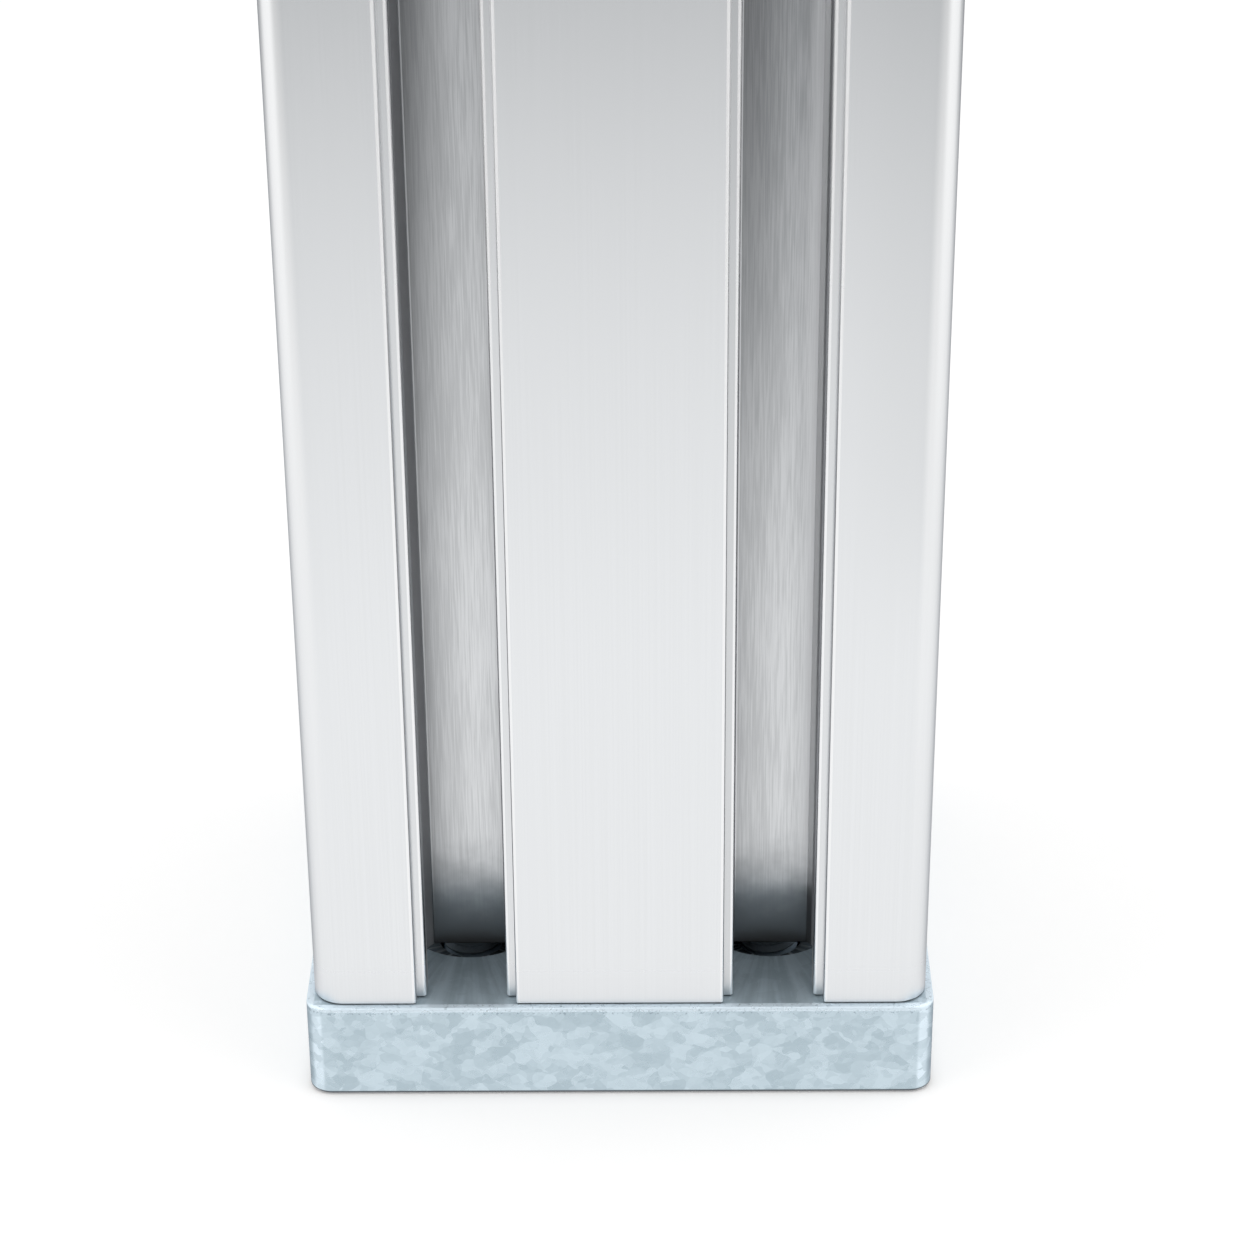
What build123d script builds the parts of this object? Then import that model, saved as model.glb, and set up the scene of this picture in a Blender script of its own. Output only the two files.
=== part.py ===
from build123d import *
import os
from math import isclose, radians, sqrt, tan

# A square T-slot leg on a foot plate, held by countersunk screws from below.
# Millimetres, +Z up. The origin is the middle of the plate's underside, on the floor.
# The face that is seen from the front looks along -Y.

# Leg: an extruded profile, two modules wide each way
module = 40.0
leg_length = 160.0
leg_corner_radius = 4.0
foot_break = 0.25

# T-slot: one in the middle of each module, on every face
neck_width = 10.4
ledge_width = 1.3
ledge_depth = 1.7
lip_thickness = 3.3
cavity_width = 18.0
cavity_side = 3.0
mouth_edge_radius = 0.4
neck_edge_radius = 0.5

# Cores, webs and chambers inside the leg
core_side = 11.6
core_bore_diameter = 6.8
core_edge_radius = 3.0
corner_web = 1.4
side_web = 2.6
face_wall = 3.0
core_wall = 2.8
chamber_radius = 1.2

# Foot plate
plate_overhang = 1.0
plate_thickness = 13.5
plate_corner_radius = 3.0
plate_edge_radius = 0.5
plate_foot_chamfer = 0.4
spindle_hole_diameter = 16.0
spindle_hole_chamfer = 1.0
relief_diameter = 18.0
relief_depth = 3.0

# Countersunk socket screws
screw_diameter = 8.0
screw_length = 30.0
screw_head_diameter = 16.0
screw_head_angle = 90.0
socket_width = 5.0
socket_depth = 2.8

# Clearances
screw_hole_clearance = 0.5
thread_clearance = 0.05
thread_runout = 5.0
head_recess = 0.3

# Sizes that follow from those above
leg_side = 2 * module
slot_depth = (module - core_side) / 2
mouth_width = neck_width + 2 * ledge_width
lip_depth = ledge_depth + lip_thickness
shoulder_depth = lip_depth + cavity_side
floor_width = core_side - sqrt(2) * corner_web
middle_width = module - cavity_width - 2 * side_web
middle_base = middle_width + cavity_width - floor_width
corner_inside = (module + cavity_width) / 2 + side_web
corner_outside = module - face_wall
chamber_width = module - core_side
chamber_reach = module + core_side - 2 * core_wall
plate_side = leg_side + 2 * plate_overhang
head_slope = tan(radians(screw_head_angle / 2))
head_height = (screw_head_diameter - screw_diameter) / 2 / head_slope
countersink_radius = screw_head_diameter / 2 + head_recess * head_slope
screw_hole_radius = screw_diameter / 2 + screw_hole_clearance
screw_tip = head_recess + screw_length
tapped_depth = screw_tip - plate_thickness + thread_runout
leg_foot = Plane.XY.offset(plate_thickness)


def touches(vertex, reach):
    """True for a vertex on the edge of a centred square that reaches that far from the middle."""
    return isclose(max(abs(vertex.X), abs(vertex.Y)), reach, abs_tol=1e-6)


def is_diagonal(vertex):
    """True for a vertex on one of the section's two diagonals."""
    return isclose(abs(vertex.X), abs(vertex.Y), abs_tol=1e-6)


# T-slot cut, from above its mouth on a face at Y = 0 down to its floor
with BuildSketch() as t_slot:
    with BuildLine():
        flank = Polyline(
            (mouth_width / 2, ledge_depth),
            (mouth_width / 2, -ledge_depth),
            (neck_width / 2, -ledge_depth),
            (neck_width / 2, -lip_depth),
            (cavity_width / 2, -lip_depth),
            (cavity_width / 2, -shoulder_depth),
            (floor_width / 2, -slot_depth),
        )
        mirror(flank, about=Plane.YZ)
        Line((-mouth_width / 2, ledge_depth), flank @ 0)
        Line((-floor_width / 2, -slot_depth), flank @ 1)
    make_face()
    ledge_corners = t_slot.vertices().group_by(Axis.Y)[-2].sort_by(Axis.X)
    fillet(ledge_corners[1:3], neck_edge_radius)

# Chamber behind the middle of a face, between its two slots
with BuildSketch() as middle_chamber:
    with BuildLine():
        flank = Polyline(
            (middle_width / 2, -face_wall),
            (middle_width / 2, -shoulder_depth),
            (middle_base / 2, -slot_depth),
        )
        mirror(flank, about=Plane.YZ)
        Line((-middle_width / 2, -face_wall), flank @ 0)
        Line((-middle_base / 2, -slot_depth), flank @ 1)
    make_face()
    fillet(middle_chamber.vertices(), chamber_radius)

# Central chamber, a cross between the four cores
with BuildSketch() as central_chamber:
    Rectangle(chamber_reach, chamber_width)
    Rectangle(chamber_width, chamber_reach)
    fillet(central_chamber.vertices().filter_by(is_diagonal), core_edge_radius)
    arm_ends = central_chamber.vertices().filter_by(lambda v: touches(v, chamber_reach / 2))
    fillet(arm_ends, chamber_radius)

# Leg, extruded up from the foot plate and tapped at its foot
with BuildPart() as profile_leg:
    with BuildSketch(leg_foot) as section:
        Rectangle(leg_side, leg_side)
        with PolarLocations(0, 4):
            with Locations((-module / 2, module), (module / 2, module)):
                add(t_slot.sketch, mode=Mode.SUBTRACT)
        on_face = section.vertices().filter_by(lambda v: touches(v, module))
        fillet(on_face.filter_by(is_diagonal, reverse=True), mouth_edge_radius)
        on_face = section.vertices().filter_by(lambda v: touches(v, module))
        fillet(on_face.filter_by(is_diagonal), leg_corner_radius)
        with PolarLocations(0, 4):
            with Locations((0, module)):
                add(middle_chamber.sketch, mode=Mode.SUBTRACT)
        add(central_chamber.sketch, mode=Mode.SUBTRACT)
        with GridLocations(corner_inside + corner_outside, corner_inside + corner_outside, 2, 2):
            corner_size = corner_outside - corner_inside
            RectangleRounded(corner_size, corner_size, chamber_radius, mode=Mode.SUBTRACT)
        with GridLocations(module, module, 2, 2):
            Circle(core_bore_diameter / 2, mode=Mode.SUBTRACT)
    extrude(amount=leg_length)
    foot_face = profile_leg.faces().sort_by(Axis.Z)[0]
    chamfer(foot_face.outer_wire().edges(), foot_break)
    with BuildSketch(leg_foot):
        with GridLocations(module, module, 2, 2):
            Circle(screw_diameter / 2 + thread_clearance)
    extrude(amount=tapped_depth, mode=Mode.SUBTRACT)

# Foot plate, countersunk from below and relieved from above round each tapped bore
with BuildPart() as foot_plate:
    with BuildSketch():
        RectangleRounded(plate_side, plate_side, plate_corner_radius)
    extrude(amount=plate_thickness)
    fillet(foot_plate.faces().sort_by(Axis.Z)[-1].edges(), plate_edge_radius)
    chamfer(foot_plate.faces().sort_by(Axis.Z)[0].edges(), plate_foot_chamfer)
    with Locations(leg_foot):
        Hole(spindle_hole_diameter / 2)
    hole_rims = foot_plate.edges().filter_by(GeomType.CIRCLE).filter_by(
        lambda e: isclose(e.radius, spindle_hole_diameter / 2)
    )
    chamfer(hole_rims.sort_by(Axis.Z)[0], spindle_hole_chamfer)
    with Locations(leg_foot):
        with GridLocations(module, module, 2, 2):
            CounterBoreHole(screw_hole_radius, relief_diameter / 2, relief_depth)
    with Locations(-Plane.XY):
        with GridLocations(module, module, 2, 2):
            CounterSinkHole(screw_hole_radius, countersink_radius, counter_sink_angle=screw_head_angle)

# One countersunk screw, head down, on the Z axis
with BuildPart() as countersunk_screw:
    with BuildSketch(Plane.XZ):
        with BuildLine():
            Polyline(
                (0, head_recess),
                (screw_head_diameter / 2, head_recess),
                (screw_diameter / 2, head_recess + head_height),
                (screw_diameter / 2, screw_tip),
                (0, screw_tip),
                close=True,
            )
        make_face()
    revolve(axis=Axis.Z)
    with BuildSketch(Plane.XY.offset(head_recess)):
        RegularPolygon(socket_width / 2, 6, major_radius=False)
    extrude(amount=socket_depth, mode=Mode.SUBTRACT)

# The four screws, one up each core bore
with BuildPart() as plate_screws:
    with GridLocations(module, module, 2, 2):
        add(countersunk_screw.part)

profile_leg.part.label = "profile_leg"
foot_plate.part.label = "foot_plate"
plate_screws.part.label = "plate_screws"

os.makedirs("parts", exist_ok=True)
export_step(profile_leg.part, "parts/profile_leg.step")
export_step(foot_plate.part, "parts/foot_plate.step")
export_step(plate_screws.part, "parts/plate_screws.step")
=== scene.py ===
# %% [markdown]
# # A profile leg on its foot plate
# This lesson dresses a small piece of machine furniture: an aluminium T-slot leg, screwed down on a square
# galvanised foot plate. The solids come ready made, in metres, with the floor at z = 0 and the seen face
# looking along -Y. So Blender's work here is the finish of each surface, the threads and the light.

# %% Load the solids
from math import cos, pi, radians, sin, tau

import bmesh
import bpy
from mathutils import Matrix, Vector


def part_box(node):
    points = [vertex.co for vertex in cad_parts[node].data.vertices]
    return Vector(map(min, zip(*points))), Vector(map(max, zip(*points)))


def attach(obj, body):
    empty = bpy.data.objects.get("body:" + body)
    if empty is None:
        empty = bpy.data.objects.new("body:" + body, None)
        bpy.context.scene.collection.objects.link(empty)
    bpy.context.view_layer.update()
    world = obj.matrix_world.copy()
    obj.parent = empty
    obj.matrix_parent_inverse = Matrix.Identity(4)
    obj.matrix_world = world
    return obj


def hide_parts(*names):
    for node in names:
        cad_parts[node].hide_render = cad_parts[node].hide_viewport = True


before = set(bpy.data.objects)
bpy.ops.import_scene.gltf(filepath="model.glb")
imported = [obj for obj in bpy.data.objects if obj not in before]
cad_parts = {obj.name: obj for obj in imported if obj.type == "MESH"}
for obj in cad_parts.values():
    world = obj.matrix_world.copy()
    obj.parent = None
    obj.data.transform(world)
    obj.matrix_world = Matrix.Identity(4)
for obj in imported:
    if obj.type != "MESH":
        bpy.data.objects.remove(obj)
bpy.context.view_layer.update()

MM = 0.001
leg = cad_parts["profile_leg"]
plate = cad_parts["foot_plate"]
leg_low, leg_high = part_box("profile_leg")
plate_low, plate_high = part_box("foot_plate")
screws_low, screws_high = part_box("plate_screws")

# %% [markdown]
# ## Camera
# The photographer stands close, a little above the leg, and looks down on its foot. A long lens keeps the
# leg's sides nearly upright while they still spread towards the top. Turning the camera in three plain
# steps, first level, then down, then a hair sideways, is easier to read than one finished matrix.

# %% Camera
FILM_WIDTH = 36.0
LENS = 102.1
NEAREST = 10 * MM
CAMERA_PLACE = Vector((3.92, -422.62, 278.68)) * MM
LOOK_DOWN = radians(28.67)
TURN_LEFT = radians(0.39)
LEAN = radians(-0.44)

camera_data = bpy.data.cameras.new("camera")
camera_data.sensor_width = FILM_WIDTH
camera_data.lens = LENS
camera_data.clip_start = NEAREST
camera = bpy.data.objects.new("camera", camera_data)
level = Matrix.Rotation(TURN_LEFT, 4, "Z") @ Matrix.Rotation(pi / 2, 4, "X")
turned = level @ Matrix.Rotation(-LOOK_DOWN, 4, "X") @ Matrix.Rotation(LEAN, 4, "Z")
camera.matrix_world = Matrix.Translation(CAMERA_PLACE) @ turned
bpy.context.scene.collection.objects.link(camera)
bpy.context.scene.camera = camera
bpy.context.scene.view_settings.view_transform = "Standard"
print("camera:", tuple(round(value, 4) for value in camera.location), "lens", LENS)

# %% [markdown]
# ## Sums with sockets
# Every finish below is a small piece of arithmetic on the place of a point on the surface. Wiring each sum
# by hand hides the idea, so one class stands for an output socket and lets Python's operators add the Math
# nodes. Vectors and colours have methods of their own, because a Math node would turn them into one number.


# %% A socket that can be added and multiplied
class Wire:
    """An output socket of a node tree. Arithmetic on it adds Math nodes."""

    def __init__(self, tree, socket=None):
        self.tree = tree
        self.socket = socket

    def node(self, kind, settings=None, sockets=None, out=0):
        """Adds a node, sets it up, fills its sockets with values or wires, and gives one output or more."""
        made = self.tree.nodes.new(kind)
        for name, value in (settings or {}).items():
            setattr(made, name, value)
        for name, value in (sockets or {}).items():
            if isinstance(value, Wire):
                self.tree.links.new(value.socket, made.inputs[name])
            else:
                made.inputs[name].default_value = value
        if isinstance(out, (list, tuple)):
            return [Wire(self.tree, made.outputs[name]) for name in out]
        return Wire(self.tree, made.outputs[out])

    def sum(self, operation, *values):
        return self.node("ShaderNodeMath", {"operation": operation}, dict(enumerate(values)))

    def __add__(self, other):
        return self.sum("ADD", self, other)

    __radd__ = __add__

    def __sub__(self, other):
        return self.sum("SUBTRACT", self, other)

    def __rsub__(self, other):
        return self.sum("SUBTRACT", other, self)

    def __mul__(self, other):
        return self.sum("MULTIPLY", self, other)

    __rmul__ = __mul__

    def __abs__(self):
        return self.sum("ABSOLUTE", self)

    def larger(self, other):
        return self.sum("MAXIMUM", self, other)

    def smaller(self, other):
        return self.sum("MINIMUM", self, other)

    def rise(self, low, high):
        """0 below low, 1 above high, with a smooth step between. With low above high it falls instead."""
        settings = {"interpolation_type": "SMOOTHSTEP"}
        return self.node("ShaderNodeMapRange", settings, {"Value": self, "From Min": low, "From Max": high})

    def span(self, low, high):
        """This wire, which runs from 0 to 1, made to run from low to high."""
        return low + (high - low) * self

    def blend(self, first, second):
        """The first colour where this wire is 0 and the second where it is 1."""
        settings = {"data_type": "RGBA"}
        return self.node("ShaderNodeMix", settings, {0: self, 6: first, 7: second}, out=2)

    def stretch(self, by):
        """This vector, scaled by three numbers."""
        return self.node("ShaderNodeVectorMath", {"operation": "MULTIPLY"}, {0: self, 1: by})

    def shift(self, by):
        """This vector, moved by another one."""
        return self.node("ShaderNodeVectorMath", {"operation": "ADD"}, {0: self, 1: by})

    def split(self):
        return self.node("ShaderNodeSeparateXYZ", None, {"Vector": self}, out=("X", "Y", "Z"))

    def noise(self, detail=2.0, roughness=0.5, out=0):
        sockets = {"Vector": self, "Scale": 1.0, "Detail": detail, "Roughness": roughness}
        return self.node("ShaderNodeTexNoise", None, sockets, out)

    def grain(self, width, length, detail=2.0, roughness=0.5):
        """Noise with grains of that width, drawn out to that length along Z."""
        return self.stretch((1 / width, 1 / width, 1 / length)).noise(detail, roughness)

    def cells(self, out="Color"):
        return self.node("ShaderNodeTexVoronoi", None, {"Vector": self, "Scale": 1.0}, out)


print("socket sums:", [name for name in vars(Wire) if not name.startswith("_")])

# %% [markdown]
# ## Materials
# A finish is a material with one surface shader. Three short helpers start it, fill its sockets and turn a
# colour from a paint chart into the linear numbers that light is reckoned in.


# %% Helpers for materials
def new_finish(name):
    """An empty material, the wire that starts its sums, and its surface shader."""
    material = bpy.data.materials.new(name)
    material.use_nodes = True
    shader = material.node_tree.nodes["Principled BSDF"]
    return material, Wire(material.node_tree), shader


def feed(shader, **sockets):
    """Sets or wires a shader's sockets, named with underscores for spaces."""
    for name, value in sockets.items():
        socket = shader.inputs[name.replace("_", " ")]
        if isinstance(value, Wire):
            value.tree.links.new(value.socket, socket)
        else:
            socket.default_value = value


def shade(red, green, blue):
    """A colour as a paint chart gives it, 0 to 255, in the linear values that a shader works with."""
    linear = [((part / 255 + 0.055) / 1.055) ** 2.4 for part in (red, green, blue)]
    return (*linear, 1.0)


print("middle grey:", [round(part, 3) for part in shade(128, 128, 128)])

# %% [markdown]
# ## Floor
# The leg stands on white paper. Metal shows what is around it, so the paper matters more than the lamps: it
# is white beside the leg and greyer far in front and far behind, which draws the faces from bright at the
# foot to grey at the top. A real grey card would show in the picture. A material can tell rays apart, so
# only mirrored rays see the grey, and the camera sees plain white with the shadow left in.

# %% White paper
PAPER_WHITE = (1.0, 1.0, 1.0, 1.0)
PAPER_WARM = (1.0, 0.985, 0.97, 1.0)
PAPER_SEEN = (1.14, 1.15, 1.16, 1.0)
PAPER_GREY = (0.455, 0.46, 0.466, 1.0)
GREY_RISES = (140 * MM, 760 * MM)
GREY_WEDGE = (0.75, 0.25)
SHADOW_REACH = 300 * MM
CONTACT = 2.5 * MM
GLOW_SEEN = 0.42
GLOW_MIRRORED = 0.92


def paper_finish():
    material, wire, shader = new_finish("white_paper")
    x, y = wire.node("ShaderNodeTexCoord", out="Object").split()[:2]
    seen, mirrored = wire.node("ShaderNodeLightPath", out=("Is Camera Ray", "Is Glossy Ray"))
    under = wire.node("ShaderNodeNewGeometry", out="Backfacing")
    away = wire.sum("SQRT", x * x + y * y)
    wedge = wire.sum("DIVIDE", abs(x) - abs(y), away).rise(*GREY_WEDGE)
    grey = away.rise(*GREY_RISES) * wedge * mirrored
    matt = wire.node("ShaderNodeBsdfDiffuse", None, {"Color": grey.blend(PAPER_WARM, PAPER_GREY)})
    white = (seen * away.rise(2 * SHADOW_REACH, SHADOW_REACH)).blend(PAPER_WHITE, PAPER_SEEN)
    glow = wire.node("ShaderNodeEmission", None, {"Color": grey.blend(white, PAPER_GREY), "Strength": 1.0})
    clear_of_plate = abs(x).larger(abs(y)).rise(plate_high.x - CONTACT, plate_high.x + CONTACT)
    plain = GLOW_SEEN * clear_of_plate + (1 - GLOW_SEEN) * away.rise(SHADOW_REACH, 2 * SHADOW_REACH)
    share = plain * seen + GLOW_MIRRORED * mirrored
    lit = wire.node("ShaderNodeMixShader", None, {0: share, 1: matt, 2: glow})
    clear = wire.node("ShaderNodeBsdfTransparent")
    sheet = wire.node("ShaderNodeMixShader", None, {0: under, 1: lit, 2: clear})
    surface = material.node_tree.nodes["Material Output"].inputs["Surface"]
    material.node_tree.links.new(sheet.socket, surface)
    material.node_tree.nodes.remove(shader)
    return material


white_paper = paper_finish()
print("paper finish:", len(white_paper.node_tree.nodes), "nodes")

# %% Lay the paper
PAPER_RADIUS = 4.0
PAPER_SIDES = 96
PAPER_DROP = 0.05 * MM

paper_mesh = bpy.data.meshes.new("paper")
paper_form = bmesh.new()
bmesh.ops.create_circle(paper_form, cap_ends=True, segments=PAPER_SIDES, radius=PAPER_RADIUS)
paper_form.to_mesh(paper_mesh)
paper_form.free()
paper = bpy.data.objects.new("paper", paper_mesh)
paper.location.z = plate_low.z - PAPER_DROP
paper_mesh.materials.append(white_paper)
bpy.context.scene.collection.objects.link(paper)
print("paper:", len(paper_mesh.polygons), "face")

# %% [markdown]
# ## Sky and lamps
# Three soft lamps light the leg, one above it and one on each side. A lamp in Blender doesn't hide the sky
# behind it, so a bright metal face would mirror both at once and burn out. The sky is therefore darker
# behind the lamps, and a little darker in front and at the back, as if grey cards stood there.

# %% Sky
SKY = 1.0
CARD = 0.55
BEHIND_LAMPS = 0.4
CARD_TURNS = (0.2, 0.6)
CARD_ENDS = (0.95, 0.7)
OVERHEAD = (0.80, 0.92)
SIDEWAYS = (0.5, 0.7)
OFF_FLOOR = (0.15, 0.4)

world = bpy.data.worlds.new("studio")
world.use_nodes = True
background = world.node_tree.nodes["Background"]
sky = Wire(world.node_tree)
seen = sky.node("ShaderNodeLightPath", out="Is Camera Ray")
sky_x, sky_y, sky_z = sky.node("ShaderNodeTexCoord", out="Generated").split()
card = abs(sky_y).rise(*CARD_TURNS) * sky_z.rise(*CARD_ENDS)
behind = sky_z.rise(*OVERHEAD).larger(abs(sky_x).rise(*SIDEWAYS) * sky_z.rise(*OFF_FLOOR))
strength = (card.span(SKY, CARD) * behind.span(1, BEHIND_LAMPS)).larger(seen)
world.node_tree.links.new(strength.socket, background.inputs["Strength"])
background.inputs["Color"].default_value = (1, 1, 1, 1)
bpy.context.scene.world = world
print("sky:", len(world.node_tree.nodes), "nodes")

# %% Lamps
LAMP_SIZE = 1000 * MM
TOP_LIGHT = 2.9
SIDE_LIGHT = 3.3
LAMPS = {
    "top_light": ((0.0, 0.1, 0.9), TOP_LIGHT),
    "left_light": ((-0.75, -0.15, 0.55), SIDE_LIGHT),
    "right_light": ((0.75, -0.15, 0.55), SIDE_LIGHT),
}

for name, (place, power) in LAMPS.items():
    lamp = bpy.data.lights.new(name, "AREA")
    lamp.shape = "SQUARE"
    lamp.size = LAMP_SIZE
    lamp.energy = power
    holder = bpy.data.objects.new(name, lamp)
    holder.location = place
    to_foot = -Vector(place)
    holder.rotation_euler = to_foot.to_track_quat("-Z", "Y").to_euler()
    bpy.context.scene.collection.objects.link(holder)
print("lamps:", [item.name for item in bpy.data.lights])

# %% [markdown]
# ## Where a point lies on the leg
# The leg has flat faces, stepped lips and deep slots, and each of them looks different. Every face of the
# mesh could get a material of its own, but the solid comes as it is. So one material reads the section
# instead: how deep a point lies below its face, how far aside from the middle of a slot, and how high up.

# %% A point on the leg
SLOT_MIDDLE = 20 * MM
SLOT_STARTS = (3.0 * MM, 4.0 * MM)
SHADY_SIDE = (0.56, 0.41)
SAWN_TURNED = (0.9, 0.95)


class LegPoint:
    """A point on the leg, as wires. Across runs from 0 to 1 over each half of a face, with +X."""

    def __init__(self, wire):
        self.place, facing = wire.node("ShaderNodeTexCoord", out=("Object", "Normal"))
        self.x, self.y, self.z = self.place.split()
        self.turned_x, self.turned_y, turned_z = facing.split()
        self.depth = leg_high.x - abs(self.x).larger(abs(self.y))
        self.from_middle = abs(self.x).smaller(abs(self.y))
        self.aside = abs(self.from_middle - SLOT_MIDDLE)
        self.across = wire.sum("FRACT", self.x * (0.5 / SLOT_MIDDLE))
        self.shady = self.across.rise(*SHADY_SIDE)
        self.in_slot = self.depth.rise(*SLOT_STARTS)
        self.sawn = turned_z.rise(*SAWN_TURNED)


print("leg section:", round(2 * leg_high.x / MM, 1), "mm wide, slots at", SLOT_MIDDLE / MM, "mm")

# %% [markdown]
# ## Faces and lips
# The leg is pushed through a die, so faint lines run along its whole length, and it is then etched and
# anodised to a satin grey. Scratches drawn one by one would never end. Noise that is squeezed sideways and
# pulled out along Z gives the same lines on every face. The slot edges and the leg's corners get a painted
# highlight, at the corners stronger towards the top. The ledge inside each lip gets a painted shade, deeper
# on the shaded side of the right-hand slots, and higher up the faces get a faint painted shade, strongest on
# the outer strip on the right.

# %% Faces and lips
NOISE_MIDDLE = (0.3, 0.7)
FACE_LIGHT = shade(233, 235, 237)
FACE_DARK = shade(231, 233, 235)
# Painted shade for the upper faces, strongest on the outer strip on the right.
FACE_SHADE = shade(225, 227, 229)
FACE_SHADE_LEAST = 0.25
FACE_SHADE_ASIDE = (24 * MM, 36 * MM)
FACE_SHADE_RISES = (60 * MM, 95 * MM)
# Painted shade on the ledges inside the lips.
LEDGE_PAINTED_SHADE = shade(211, 213, 215)
LEDGE_LEAST = 0.45
LEDGE_STARTS = (1.5 * MM, 1.65 * MM)
LEDGE_DEPTH = 1.7 * MM
RIGHT_HALF = (0, 10 * MM)
# Painted highlight on the slot edges and the leg's rounded corners.
PAINTED_EDGE_HIGHLIGHT = shade(244, 245, 246)
MOUTH_HALF = 6.5 * MM
NECK_HALF = 5.2 * MM
EDGE_ROUND = 0.45 * MM
EDGE_INNER = 0.9 * EDGE_ROUND
EDGE_OUTER = 1.1 * EDGE_ROUND
MOUTH_EDGE_ENDS = (EDGE_ROUND, EDGE_INNER)
NECK_EDGE_ENDS = (LEDGE_DEPTH + EDGE_OUTER, LEDGE_DEPTH + EDGE_INNER)
RISER_FROM = (6.3 * MM, 6.4 * MM)
RISER_TO = (6.75 * MM, 6.6 * MM)
RISER_ENDS = (1.9 * MM, 1.75 * MM)
CORNER_STARTS = (36.8 * MM, 37.8 * MM)
CORNER_RISES = (0, 150 * MM)
GLINT_RISES = (85 * MM, 150 * MM)


def slot_edge(point, half, ends):
    """1 on the rounded edges of an opening that is twice half wide, down to the depth where they end."""
    return point.aside.rise(half + EDGE_OUTER, half + EDGE_INNER) * point.depth.rise(*ends)


def face_colour(point, lines):
    """The colour of faces, ledges and edges with painted shade and highlights, and how much lip edges glint.
    """
    face = lines.rise(*NOISE_MIDDLE).blend(FACE_DARK, FACE_LIGHT)
    # Painted shade: higher up the faces darken a little, most on the outer strip on the right.
    shaded = point.x.rise(*FACE_SHADE_ASIDE).span(FACE_SHADE_LEAST, 1) * point.z.rise(*FACE_SHADE_RISES)
    # Painted shade on the ledges, deeper on the shaded side of the right-hand slots.
    duller = (point.shady * point.x.rise(*RIGHT_HALF)).span(LEDGE_LEAST, 1)
    ledge = point.depth.rise(*LEDGE_STARTS) * duller
    stepped = ledge.blend(shaded.blend(face, FACE_SHADE), LEDGE_PAINTED_SHADE)
    mouth = slot_edge(point, MOUTH_HALF, MOUTH_EDGE_ENDS)
    edges = mouth.larger(slot_edge(point, NECK_HALF, NECK_EDGE_ENDS))
    # Painted highlight on the leg's rounded corners, growing towards the top.
    corner = point.from_middle.rise(*CORNER_STARTS) * point.z.rise(*CORNER_RISES)
    riser = point.aside.rise(*RISER_FROM) * point.aside.rise(*RISER_TO) * point.depth.rise(*RISER_ENDS)
    glint = edges.larger(riser) * point.z.rise(*GLINT_RISES)
    # Slot edges and corners get the painted highlight.
    return edges.larger(corner).blend(stepped, PAINTED_EDGE_HIGHLIGHT), glint


print("lips: mouth", 2 * MOUTH_HALF / MM, "mm, neck", 2 * NECK_HALF / MM, "mm")

# %% [markdown]
# ## Slots
# The die drags in the narrow slots, so their floors are scored with short streaks and duller than the faces.
# Higher up, and most in the right-hand slots, the floors get a painted shade, and their feet a darker patchy
# painted shade. Light falls in from the front and leaves one side of a floor in shade. Lamps alone make that
# shade too even, so the colour helps: one side gets a painted shade, and the foot of the flank on the other
# side and the right edge of the floor in the right-hand slots get a painted highlight, with a fine painted
# highlight along each edge of the floor.

# %% Slots
SLOT_LIGHT = shade(224, 226, 228)
SLOT_DARK = shade(204, 206, 208)
# Painted highlight for the floor's right edge, the foot of one flank and the lines along the floor's edges.
SLOT_HIGHLIGHT = shade(246, 248, 250)
SLOT_SHADE = shade(90, 92, 95)
SLOT_SHADE_LOW = 0.2
SLOT_SHADE_HIGH = 0.55
SLOT_SHADE_RISES = (60 * MM, 150 * MM)
# Painted shade on the slot floors, darker higher up and in the right-hand slots.
FLOOR_SHADE_LIGHT = shade(175, 177, 180)
FLOOR_SHADE_DARK = shade(152, 155, 158)
FLOOR_SHADE_LEFT = 0.36
FLOOR_SHADE_RIGHT = 0.9
FLOOR_SHADE_ASIDE = (5 * MM, 25 * MM)
FLOOR_SHADE_RISES = (50 * MM, 155 * MM)
FLOOR_SHADE_AT_EDGE = 0.5
CLEAR_EDGE = (0.55, 0.62)
BRIGHT_EDGE = (0.57, 0.62)
BRIGHT_SHARE = 0.75
CLOUD_WIDTH = 5 * MM
CLOUD_LENGTH = 25 * MM
STREAK_SHARE = 0.7
SCORED = (0.38, 0.62)


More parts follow.
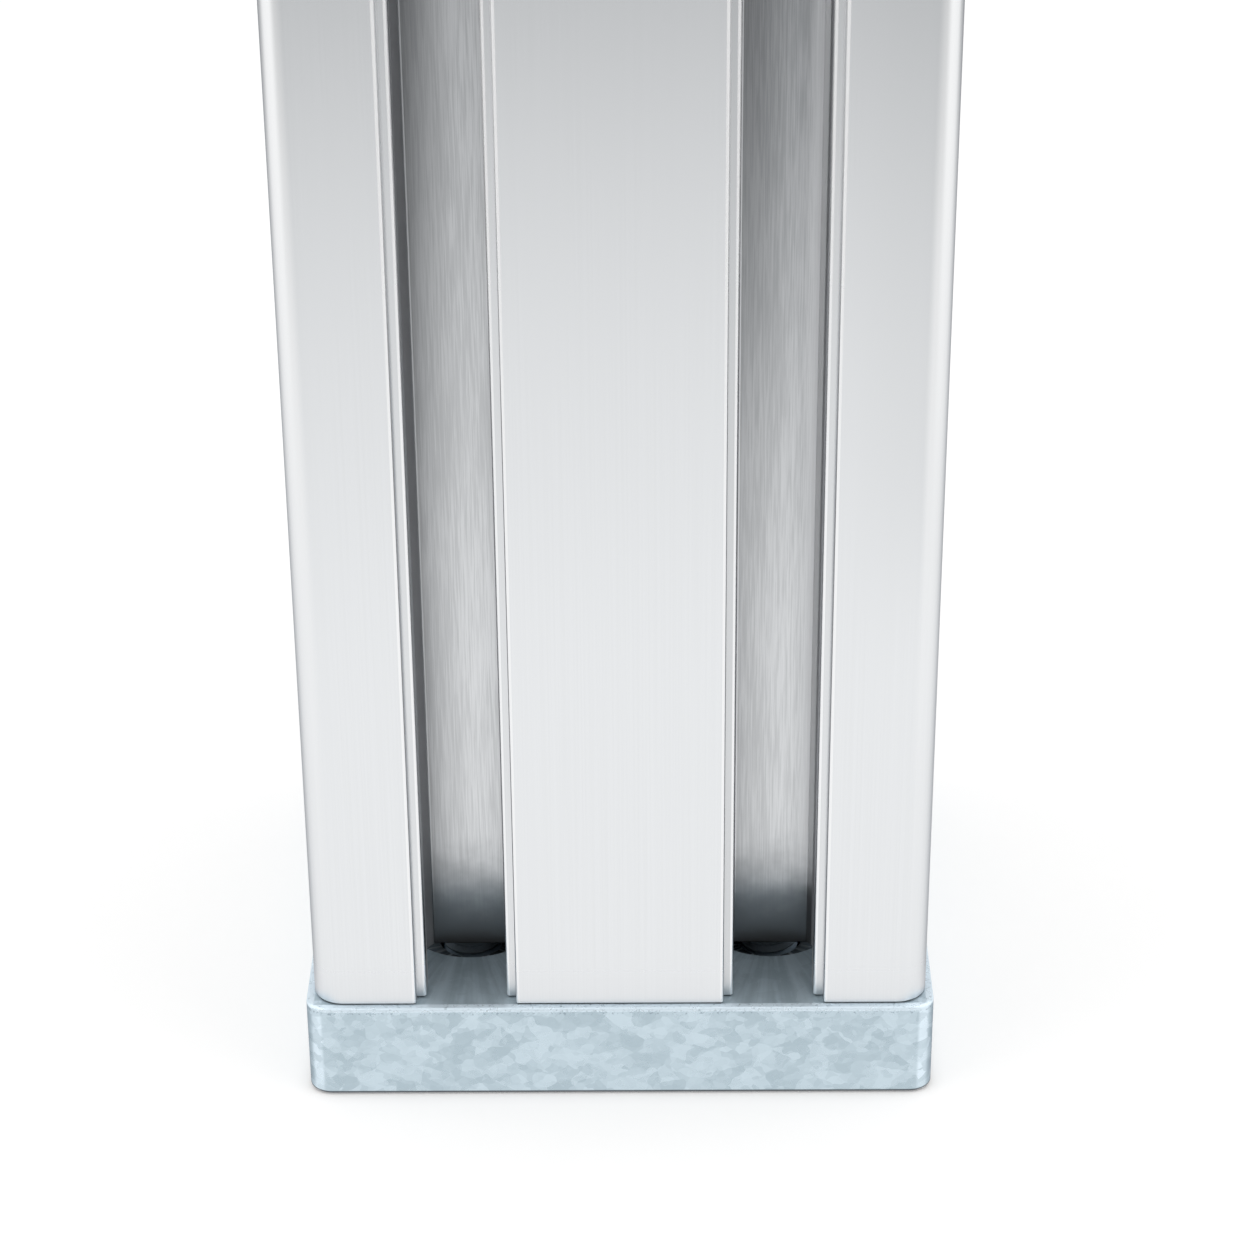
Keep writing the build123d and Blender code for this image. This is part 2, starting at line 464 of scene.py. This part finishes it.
def slot_floor(point, streaks):
    """The colour of a slot floor with painted shade higher up and on one side, and a painted highlight on
    one edge.
    """
    clouds = point.place.grain(CLOUD_WIDTH, CLOUD_LENGTH)
    scored = (STREAK_SHARE * streaks + (1 - STREAK_SHARE) * clouds).rise(*SCORED)
    plain = scored.blend(SLOT_DARK, SLOT_LIGHT)
    # Painted shade: the floors darken towards the top, most in the right-hand slots and least at their right
    # edge.
    dull = point.x.rise(*FLOOR_SHADE_ASIDE).span(FLOOR_SHADE_LEFT, FLOOR_SHADE_RIGHT) * point.z.rise(*FLOOR_SHADE_RISES)
    dull = dull * point.across.rise(*CLEAR_EDGE).span(1, FLOOR_SHADE_AT_EDGE)
    floor_shaded = dull.blend(plain, scored.blend(FLOOR_SHADE_DARK, FLOOR_SHADE_LIGHT))
    frontal = abs(point.turned_y)
    # Painted highlight along the right edge of the floor in the right-hand slots.
    bright = BRIGHT_SHARE * point.across.rise(*BRIGHT_EDGE) * point.x.rise(*RIGHT_HALF) * frontal
    shadow = point.shady * frontal * point.z.rise(*SLOT_SHADE_RISES).span(SLOT_SHADE_LOW, SLOT_SHADE_HIGH)
    return shadow.blend(bright.blend(floor_shaded, SLOT_HIGHLIGHT), SLOT_SHADE)


# The duller zone in this print is the painted shade on the slot floors.
print("slot floors: duller from", round(FLOOR_SHADE_RISES[0] / MM), "to", round(FLOOR_SHADE_RISES[1] / MM), "mm up")

# %% Flanks, painted shade and highlights
FLANK_TONE = shade(212, 213, 215)
FLANK_STARTS = (4.8 * MM, 5.0 * MM)
LIGHT_TURNED = (-0.7, -0.75)
LIGHT_DEPTH = (12 * MM, 12.3 * MM)
LIGHT_FROM = (4.78 * MM, 4.86 * MM)
LIGHT_TO = (5.5 * MM, 5.35 * MM)
# Painted highlight lines along both edges of each slot floor.
FLOOR_EDGE_HIGHLIGHT_FROM = (4.60 * MM, 4.68 * MM)
FLOOR_EDGE_HIGHLIGHT_TO = (4.96 * MM, 4.88 * MM)
FLOOR_EDGE_HIGHLIGHT_SHARE = 0.75
# Painted shade at the foot of the slots.
SLOT_FOOT_SHADE = shade(136, 139, 142)
SLOT_FOOT_SHADE_FADES = (leg_low.z + 3.5 * MM, leg_low.z + 18 * MM)
SMOKE_SIZE = 4 * MM
SMOKE_DRIFT = 9 * MM


def slot_colour(point, streaks):
    """The slot colour with painted shade and highlights, a mask of flanks, and one flank foot's painted
    highlight.
    """
    smoke = point.place.grain(SMOKE_SIZE, SMOKE_SIZE, detail=3)
    # Painted shade near the slots' feet, with a patchy border from the noise.
    above_foot_shade = (point.z + SMOKE_DRIFT * (smoke - 0.5)).rise(*SLOT_FOOT_SHADE_FADES)
    flank = point.aside.rise(*FLANK_STARTS) * point.in_slot * (1 - point.sawn)
    # Painted highlight at the foot of the flank that faces left.
    light = point.turned_x.rise(*LIGHT_TURNED) * point.depth.rise(*LIGHT_DEPTH) * (1 - point.sawn)
    light = light * point.aside.rise(*LIGHT_FROM) * point.aside.rise(*LIGHT_TO)
    floor = above_foot_shade.blend(SLOT_FOOT_SHADE, slot_floor(point, streaks))
    sides = light.blend(FLANK_TONE, above_foot_shade.blend(SLOT_FOOT_SHADE, SLOT_HIGHLIGHT))
    # Painted highlight as a fine line along each edge of the floor.
    floor_edge_highlight = FLOOR_EDGE_HIGHLIGHT_SHARE * point.aside.rise(*FLOOR_EDGE_HIGHLIGHT_FROM) * point.aside.rise(*FLOOR_EDGE_HIGHLIGHT_TO) * above_foot_shade
    return floor_edge_highlight.blend(flank.blend(floor, sides), SLOT_HIGHLIGHT), flank, light * above_foot_shade


# The grime in this print is the painted shade at the slots' feet.
print("slots: grime up to", round((SLOT_FOOT_SHADE_FADES[1] - leg_low.z) / MM, 1), "mm above the plate")

# %% [markdown]
# ## The whole leg
# A saw cuts the leg to length and leaves shallow arcs across its end, so there the noise is stretched along
# an arc instead of along Z. Masks then join faces, slots and sawn end in one material, which keeps their
# borders exactly on the section. A dark hairline at the foot stands for the joint with the plate.

# %% Saw marks
SAW_PITCH = 0.35 * MM
SAW_LENGTH = 60 * MM
SAW_BEND = 260 * MM


def saw_marks(wire, point):
    """Noise that runs across the leg's end in arcs of the saw blade's radius."""
    stroke = (point.y + point.x * point.x * (0.5 / SAW_BEND)) * (1 / SAW_PITCH)
    return wire.node("ShaderNodeCombineXYZ", None, {"X": point.x * (1 / SAW_LENGTH), "Y": stroke}).noise(3)


print("saw marks:", round(SAW_PITCH / MM, 2), "mm apart")

# %% Anodised aluminium
LINE_WIDTH = 0.18 * MM
LINE_LENGTH = 60 * MM
STREAK_WIDTH = 0.19 * MM
STREAK_LENGTH = 8 * MM
SAWN_LIGHT = shade(232, 233, 235)
SAWN_DARK = shade(206, 208, 210)
SAW_RELIEF = 4
JOINT_FADES = (leg_low.z + 0.176 * MM, leg_low.z + 0.144 * MM)
JOINT_GREY = shade(84, 86, 89)
FOOT_FADES = (leg_low.z + 9 * MM, leg_low.z)
EDGE_TINT = shade(180, 182, 186)
GRAIN_BUMP = {"Strength": 0.022, "Distance": 0.04 * MM}
SATIN = 0.18
ROUGHER_LINES = 0.03
ROUGHER_SLOT = 0.09
ROUGHER_FLANK = 0.22
ROUGHER_SAWN = 0.15
ROUGHER_FOOT = 0.2
GLINT_SCATTER = 0.6
LIGHT_SCATTER = 0.9


def aluminium_finish():
    material, wire, shader = new_finish("anodised_aluminium")
    point = LegPoint(wire)
    sawn = point.sawn
    lines = point.place.grain(LINE_WIDTH, LINE_LENGTH, detail=3)
    streaks = point.place.grain(STREAK_WIDTH, STREAK_LENGTH, detail=4, roughness=0.6)
    marks = saw_marks(wire, point)
    outside, glint = face_colour(point, lines)
    inside, flank, light = slot_colour(point, streaks)
    drawn = (point.in_slot * (1 - sawn)).blend(outside, inside)
    metal = sawn.blend(drawn, marks.rise(*NOISE_MIDDLE).blend(SAWN_DARK, SAWN_LIGHT))
    height = SAW_RELIEF * sawn * marks + (1 - sawn) * (lines + point.in_slot * streaks)
    rough = SATIN + ROUGHER_LINES * lines + ROUGHER_SLOT * point.in_slot + ROUGHER_FLANK * flank
    feed(
        shader,
        Base_Color=point.z.rise(*JOINT_FADES).blend(metal, JOINT_GREY),
        Metallic=1 - GLINT_SCATTER * glint - LIGHT_SCATTER * light,
        Roughness=rough + ROUGHER_SAWN * sawn + ROUGHER_FOOT * point.z.rise(*FOOT_FADES),
        Specular_Tint=EDGE_TINT,
        Normal=wire.node("ShaderNodeBump", None, {**GRAIN_BUMP, "Height": height}),
    )
    return material


leg.data.materials.clear()
leg.data.materials.append(aluminium_finish())
print("leg:", len(leg.data.polygons), "faces in", leg.data.materials[0].name)

# %% [markdown]
# ## Zinc leaves
# Hot zinc freezes on the plate in flat crystals that face different ways, so the coat looks like pale
# leaves laid over one another. A painted image would repeat and need a file of its own. Cells whose borders
# are pushed about by noise make such leaves, and three sizes of them are mixed in close tones of blue grey.

# %% Zinc leaves
LEAF_SIZES = (2.7 * MM, 1.8 * MM, 1.0 * MM)
LEAF_WEIGHTS = (0.46, 0.38, 0.16)
LEAF_FLAT = 1.25
LEAF_START = Vector((2000, 5000, 9000))
TEAR_PITCH = 1.1
TEAR_DETAIL = 1.2
LEAF_RAGGED = 0.8


def leaves(place, size):
    """A chance from 0 to 1 for each crystal of about that size, with torn borders."""
    grown = place.stretch((1 / size, 1 / size, LEAF_FLAT / size)).shift(LEAF_START * size)
    tears = grown.stretch((TEAR_PITCH,) * 3).noise(TEAR_DETAIL, out=1)
    return grown.shift(tears.stretch((LEAF_RAGGED,) * 3)).cells().split()[0]


def spangle(place):
    """The tone of the leaves, and the chances of the middle and the small ones."""
    large, middle, small = [leaves(place, size) for size in LEAF_SIZES]
    tone = LEAF_WEIGHTS[0] * large + LEAF_WEIGHTS[1] * middle + LEAF_WEIGHTS[2] * small
    return tone, middle, small


print("leaves:", [round(size / MM, 1) for size in LEAF_SIZES], "mm")

# %% [markdown]
# ## Streaks round the screws
# On top of the plate the zinc runs towards the screw holes before it freezes, so streaks fan out from each
# hole there and the leaves fade. Noise over x and y has no middle to fan out from. Noise over an angle and
# a distance has one, so both are measured from the nearest screw's axis.

# %% Streaks round the screws
SCREW_SPACING = 20 * MM
FAN_PITCH = 9
FAN_LENGTH = 24 * MM


def screw_fan(wire, x, y):
    """The distance from the nearest screw's axis, and streaks that fan out from it."""
    aside = abs(x) - SCREW_SPACING
    along = abs(y) - SCREW_SPACING
    away = wire.sum("SQRT", aside * aside + along * along)
    turn = wire.sum("ARCTAN2", along, aside)
    fan = wire.node("ShaderNodeCombineXYZ", None, {"X": FAN_PITCH * turn, "Y": away * (1 / FAN_LENGTH)})
    return away, fan.noise(detail=4)


print("screw holes:", SCREW_SPACING / MM, "mm from the middle")

# %% [markdown]
# ## Rim and foot
# The plate's upper rim gets a pale, speckled painted highlight with small dark pits just below it, and the
# upright corners get painted highlights too. At the floor the broken lower edge gets a thin dark line of
# painted shade. Such bands could be painted on, but their places are known: rim, pits and foot line lie on
# the plate's outline at certain heights, and the corners lie far from the middle both ways. So a few masks
# are enough.

# %% Rim and foot
RIM_STARTS = (plate_high.x - 1.2 * MM, plate_high.x - 1.0 * MM)
RIM_RISES = (plate_high.z - 0.6 * MM, plate_high.z - 0.36 * MM)
RIM_UNEVEN = 0.5 * MM
RIM_HIGHLIGHT = (0.2, 0.45)
PIT_RISES = (plate_high.z - 1.1 * MM, plate_high.z - 0.8 * MM)
PIT_ENDS = (plate_high.z - 0.4 * MM, plate_high.z - 0.6 * MM)
PIT_SPECKLE = (0.56, 0.66)
PIT_SHARE = 0.7
CORNER_STRIP = (38.7 * MM, 39.2 * MM)
CORNER_STRIP_ENDS = (40.5 * MM, 40.0 * MM)
CORNER_LEAVES = (0.3, 1.2)
# Painted shade: a thin dark line along the plate's lower edge at the floor.
FOOT_SHADE_LINE_FADES = (0.624 * MM, 0.416 * MM)
# Painted highlight on the rim and the upright corners.
ZINC_HIGHLIGHT = shade(229, 244, 254)
ZINC_PIT = shade(140, 156, 168)


def rim_colour(x, y, z, tone, middle, speckle):
    """Zinc colour with pits and painted highlights on rim and corners; masks of rim, its highlight and foot
    shade.
    """
    outline = abs(x).larger(abs(y)).rise(*RIM_STARTS)
    rim = outline * (z + RIM_UNEVEN * (speckle - 0.5)).rise(*RIM_RISES)
    # Painted highlight: the speckled rim and the corner strips turn pale.
    rim_highlight = rim * speckle.rise(*RIM_HIGHLIGHT)
    strip = abs(x).smaller(abs(y)).rise(*CORNER_STRIP) * abs(x).rise(*CORNER_STRIP_ENDS)
    bright = rim_highlight.larger(strip * middle.span(*CORNER_LEAVES)).blend(tone, ZINC_HIGHLIGHT)
    pits = z.rise(*PIT_RISES) * z.rise(*PIT_ENDS) * outline * speckle.rise(*PIT_SPECKLE)
    return (PIT_SHARE * pits).blend(bright, ZINC_PIT), rim, rim_highlight, outline * z.rise(*FOOT_SHADE_LINE_FADES)


print("rim:", round((plate_high.z - RIM_RISES[0]) / MM, 2), "mm high")

# %% [markdown]
# ## Galvanised steel
# The plate's coat joins leaves, streaks, rim and the painted shade in the reliefs round the screws. Its flat
# top is rougher than its sides, and the thick zinc on the rim scatters light like paint, so both mirror
# less.
# A second shader could be mixed in there, but a lower Metallic value does the same with fewer nodes.

# %% Galvanised steel
ZINC_DARK = shade(180, 197, 206)
ZINC_LIGHT = shade(206, 222, 231)
# Painted shade for the thin line along the lower edge.
ZINC_FOOT_SHADE = shade(80, 86, 91)
# Painted shade in the reliefs round the screw holes, with lighter fanned streaks.
HOLE_SHADE_DARK = shade(104, 115, 123)
HOLE_SHADE_LIGHT = shade(185, 197, 205)
ZINC_TONES = (0.1, 0.9)
TOP_TURNED = (0.9, 0.99)
TOP_LEAVES_FADE = 0.6
TOP_FAN = 2.4
HOLE_ENDS = (9.2 * MM, 9.1 * MM)
RELIEF_FLOOR = plate_high.z - 3.1 * MM
RELIEF_RISES = (RELIEF_FLOOR - 0.4 * MM, RELIEF_FLOOR)
RELIEF_ENDS = (plate_high.z, plate_high.z - 0.1 * MM)
HOLE_FAN = (0.45, 0.7)
SPECKLE_SIZE = 0.35 * MM
RIM_HIGHLIGHT_SCATTER = 0.7
TOP_SCATTER = 0.3
ZINC_ROUGH = 0.26
ROUGHER_LEAVES = 0.08
ROUGHER_TOP = 0.25


def galvanised_finish():
    material, wire, shader = new_finish("galvanised_steel")
    place, facing = wire.node("ShaderNodeTexCoord", out=("Object", "Normal"))
    x, y, z = place.split()
    on_top = facing.split()[2].rise(*TOP_TURNED)
    from_screw, fan = screw_fan(wire, x, y)
    leaf, middle, small = spangle(place)
    leaf = leaf + on_top * (TOP_FAN * (fan - 0.5) - TOP_LEAVES_FADE * (leaf - 0.5))
    tone = leaf.rise(*ZINC_TONES).blend(ZINC_DARK, ZINC_LIGHT)
    speckle = place.grain(SPECKLE_SIZE, SPECKLE_SIZE)
    coat, rim, rim_highlight, foot_shade_line = rim_colour(x, y, z, tone, middle, speckle)
    # Painted shade darkens the reliefs round the screws.
    in_hole = from_screw.rise(*HOLE_ENDS) * z.rise(*RELIEF_ENDS) * z.rise(*RELIEF_RISES)
    shaded = in_hole.blend(coat, fan.rise(*HOLE_FAN).blend(HOLE_SHADE_DARK, HOLE_SHADE_LIGHT))
    matt_top = on_top * (1 - rim)
    feed(
        shader,
        Base_Color=foot_shade_line.blend(shaded, ZINC_FOOT_SHADE),
        Metallic=1 - RIM_HIGHLIGHT_SCATTER * rim_highlight - TOP_SCATTER * matt_top,
        Roughness=ZINC_ROUGH + ROUGHER_LEAVES * small + ROUGHER_TOP * matt_top,
        Specular_Tint=EDGE_TINT,
    )
    return material


plate.data.materials.clear()
plate.data.materials.append(galvanised_finish())
print("plate:", len(plate.data.polygons), "faces in", plate.data.materials[0].name)

# %% [markdown]
# ## Threads
# A screw thread is one ridge that winds up a cylinder. A Screw modifier could wind a profile, but it leaves
# both ends open. Here each column of points climbs a little higher than its neighbour, and after a full
# turn the last column meets the first one a pitch up. A plain ring at each end closes the form.

# %% Rings
AROUND = 48


def add_ring(form, radius, height):
    """A ring of points. The radius is a number, or a function of the angle."""
    angles = [tau * step / AROUND for step in range(AROUND)]
    reach = radius if callable(radius) else lambda angle: radius
    return [form.verts.new((reach(a) * cos(a), reach(a) * sin(a), height)) for a in angles]


def join_rings(form, rings):
    for lower, upper in zip(rings, rings[1:]):
        for here in range(AROUND):
            after = (here + 1) % AROUND
            form.faces.new((lower[here], lower[after], upper[after], upper[here]))


print("points in a ring:", AROUND)

# %% Threads
RIDGE = ((0.0, 0.0), (0.36, 1.0), (0.50, 1.0), (0.86, 0.0))
RUN_OUT = 0.3


def add_thread(form, radius, depth, pitch, low, high):
    """A ridge that winds from low to high and fades out at both ends. Gives the plain ring at each end."""
    turns = int((high - low) / pitch) - 1
    first, last = add_ring(form, radius, low), add_ring(form, radius, high)
    start = low + ((high - low) - (turns + 1) * pitch) / 2
    columns = []
    for step in range(AROUND):
        angle = tau * step / AROUND
        column = []
        for turn in range(turns + 1):
            for share, swell in RIDGE if turn < turns else RIDGE[:1]:
                height = start + pitch * (turn + share + step / AROUND)
                inside = min((height - low) / pitch, (high - height) / pitch) - RUN_OUT
                reach = radius + depth * swell * max(0.0, min(1.0, inside))
                column.append(form.verts.new((reach * cos(angle), reach * sin(angle), height)))
        columns.append(column)
    rows = len(columns[0])
    climb = len(RIDGE)
    for here in range(AROUND - 1):
        left, right = columns[here], columns[here + 1]
        for row in range(rows - 1):
            form.faces.new((left[row], right[row], right[row + 1], left[row + 1]))
        form.faces.new((first[here], first[here + 1], right[0], left[0]))
        form.faces.new((left[-1], right[-1], last[here + 1], last[here]))
    left, right = columns[-1], columns[0]
    for row in range(rows - 1 - climb):
        form.faces.new((left[row], right[row + climb], right[row + climb + 1], left[row + 1]))
    form.faces.new([first[-1], first[0]] + right[: climb + 1] + [left[0]])
    form.faces.new([left[-1 - climb], right[-1], last[0], last[-1]] + left[: -1 - climb : -1])
    return first, last


print("ridge points a turn:", AROUND * len(RIDGE))

# %% From a form to an object
SHARP = radians(25)


def finish_form(form, name, material):
    """Turns a form into an object whose sharp edges stay sharp and whose round sides are smooth."""
    bmesh.ops.recalc_face_normals(form, faces=form.faces)
    for face in form.faces:
        face.smooth = True
    for edge in form.edges:
        edge.smooth = edge.calc_face_angle(pi) < SHARP
    mesh = bpy.data.meshes.new(name)
    form.to_mesh(mesh)
    form.free()
    mesh.materials.append(material)
    piece = bpy.data.objects.new(name, mesh)
    bpy.context.scene.collection.objects.link(piece)
    return piece


print("edges are sharp from", round(SHARP * 180 / pi), "degrees")

# %% [markdown]
# ## Screws
# Four countersunk screws with a hexagon socket hold the plate from below. The solid ones have plain shanks,
# so each is rebuilt here from its axis outwards: socket, flat head with a broken edge, cone, thread and tip.
# Four separate forms would only repeat the work, so one is made and copied to the four holes.

# %% One screw
SOCKET = 2.5 * MM
SOCKET_DEPTH = 2.8 * MM
SOCKET_LEAD = 0.3 * MM
SOCKET_FLARE = 1.18
HEAD_FLAT = 7.5 * MM
HEAD_EDGE = 7.75 * MM
HEAD_BREAK = 0.15 * MM
CONE_ENDS = 4.0 * MM
THREAD_STARTS = 4.8 * MM
SCREW_CORE = 3.32 * MM
SCREW_RIDGE = 0.66 * MM
SCREW_PITCH = 1.25 * MM
TIP_HEIGHT = 0.5 * MM
TIP_STEP = 0.4 * MM


def hexagon(angle):
    return SOCKET / cos((angle + pi / 6) % (pi / 3) - pi / 6)


def screw_form():
    form = bmesh.new()
    head = screws_low.z
    tip = screws_high.z
    socket_floor = add_ring(form, hexagon, head + SOCKET_DEPTH)
    thread_ends = (head + THREAD_STARTS, tip - TIP_HEIGHT)
    thread_low, thread_high = add_thread(form, SCREW_CORE, SCREW_RIDGE, SCREW_PITCH, *thread_ends)
    join_rings(form, [
        socket_floor,
        add_ring(form, hexagon, head + SOCKET_LEAD),
        add_ring(form, SOCKET_FLARE * SOCKET, head),
        add_ring(form, HEAD_FLAT, head),
        add_ring(form, HEAD_EDGE, head + HEAD_BREAK),
        add_ring(form, SCREW_CORE + SCREW_RIDGE, head + CONE_ENDS),
        thread_low,
    ])
    tip_ring = add_ring(form, SCREW_CORE - TIP_STEP, tip)
    join_rings(form, [thread_high, tip_ring])
    form.faces.new(socket_floor)
    form.faces.new(tip_ring)
    return form


print("screw:", round((screws_high.z - screws_low.z) / MM, 1), "mm long")

# %% [markdown]
# ## Zinc plating
# Zinc plating on small screws is thin and bright, with a faint cloud in it. On the thread it is duller, and
# where the screw crosses the relief round its hole it gets a darker painted shade. Three materials could be
# set face by face, but the height of a point along the screw tells these zones apart in one.

# %% Zinc plating
PLATED_LIGHT = shade(222, 225, 228)
PLATED_DARK = shade(196, 201, 207)
THREAD_DULL = shade(178, 194, 206)
# Painted shade where the screw crosses the relief round its hole.
SCREW_RELIEF_SHADE = shade(160, 172, 181)
DULL_THREAD_RISES = (screws_low.z + CONE_ENDS, screws_low.z + CONE_ENDS + 1.0 * MM)
RELIEF_SHADE_RISES = (RELIEF_FLOOR - 0.3 * MM, RELIEF_FLOOR)
PLATING_CLOUD = 2.5 * MM
PLATING_GRAIN = 0.25 * MM
PLATING_BUMP = {"Strength": 0.1, "Distance": 0.03 * MM}
PLATING_ROUGH = 0.24
ROUGHER_GRAIN = 0.16
ROUGHER_THREAD = 0.5


def plated_finish():
    material, wire, shader = new_finish("zinc_plated_steel")
    place = wire.node("ShaderNodeTexCoord", out="Object")
    z = place.split()[2]
    cloud = place.grain(PLATING_CLOUD, PLATING_CLOUD, detail=3)
    grain = place.grain(PLATING_GRAIN, PLATING_GRAIN)
    dull = z.rise(*DULL_THREAD_RISES)
    plated = dull.blend(cloud.rise(*NOISE_MIDDLE).blend(PLATED_DARK, PLATED_LIGHT), THREAD_DULL)
    feed(
        shader,
        Base_Color=z.rise(*RELIEF_SHADE_RISES).blend(plated, SCREW_RELIEF_SHADE),
        Metallic=1.0,
        Roughness=PLATING_ROUGH + ROUGHER_GRAIN * grain + ROUGHER_THREAD * dull,
        Normal=wire.node("ShaderNodeBump", None, {**PLATING_BUMP, "Height": grain}),
    )
    return material


plated_steel = plated_finish()
print("plating:", len(plated_steel.node_tree.nodes), "nodes")

# %% Four screws
one_screw = bpy.data.meshes.new("one_screw")
screw = screw_form()
screw.to_mesh(one_screw)
screw.free()
set_of_screws = bmesh.new()
for side in (-SCREW_SPACING, SCREW_SPACING):
    for end in (-SCREW_SPACING, SCREW_SPACING):
        before = len(set_of_screws.verts)
        set_of_screws.from_mesh(one_screw)
        set_of_screws.verts.ensure_lookup_table()
        bmesh.ops.translate(set_of_screws, vec=(side, end, 0), verts=set_of_screws.verts[before:])
bpy.data.meshes.remove(one_screw)
screws = finish_form(set_of_screws, "threaded_plate_screws", plated_steel)
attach(screws, "root")
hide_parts("plate_screws")
print("screws:", len(screws.data.polygons), "faces")

# %% [markdown]
# ## Spindle thread
# The hole in the middle of the plate takes a levelling spindle, so its wall is tapped. A tapped wall is a
# thread turned inside out: the same ridge with a depth below zero stands inwards from a thin sleeve that
# lies against the hole's wall. Cut threads are bare steel, so they are darker than the zinc round them.

# %% Cut steel
CUT_LIGHT = shade(196, 198, 200)
CUT_DARK = shade(158, 161, 164)
CHATTER_WIDTH = 0.4 * MM
CHATTER_LENGTH = 1.6 * MM
CUT_ROUGH = 0.28
ROUGHER_CHATTER = 0.15


def cut_steel_finish():
    material, wire, shader = new_finish("cut_steel")
    place = wire.node("ShaderNodeTexCoord", out="Object")
    chatter = place.grain(CHATTER_WIDTH, CHATTER_LENGTH, detail=3)
    feed(
        shader,
        Base_Color=chatter.rise(*NOISE_MIDDLE).blend(CUT_DARK, CUT_LIGHT),
        Metallic=1.0,
        Roughness=CUT_ROUGH + ROUGHER_CHATTER * chatter,
    )
    return material


cut_steel = cut_steel_finish()
print("cut steel:", len(cut_steel.node_tree.nodes), "nodes")

# %% Spindle thread
SPINDLE_WALL = 7.99 * MM
SPINDLE_ROOT = 7.95 * MM
SPINDLE_RIDGE = -1.05 * MM
SPINDLE_PITCH = 2.0 * MM
ABOVE_CHAMFER = 1.05 * MM
BELOW_TOP = 0.1 * MM

sleeve = bmesh.new()
ends = (plate_low.z + ABOVE_CHAMFER, plate_high.z - BELOW_TOP)
inner_low, inner_high = add_thread(sleeve, SPINDLE_ROOT, SPINDLE_RIDGE, SPINDLE_PITCH, *ends)
outer_low, outer_high = [add_ring(sleeve, SPINDLE_WALL, end) for end in ends]
join_rings(sleeve, [inner_high, outer_high, outer_low, inner_low])
spindle_thread = finish_form(sleeve, "spindle_thread", cut_steel)
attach(spindle_thread, "root")
print("spindle thread:", len(spindle_thread.data.polygons), "faces")

# %% [markdown]
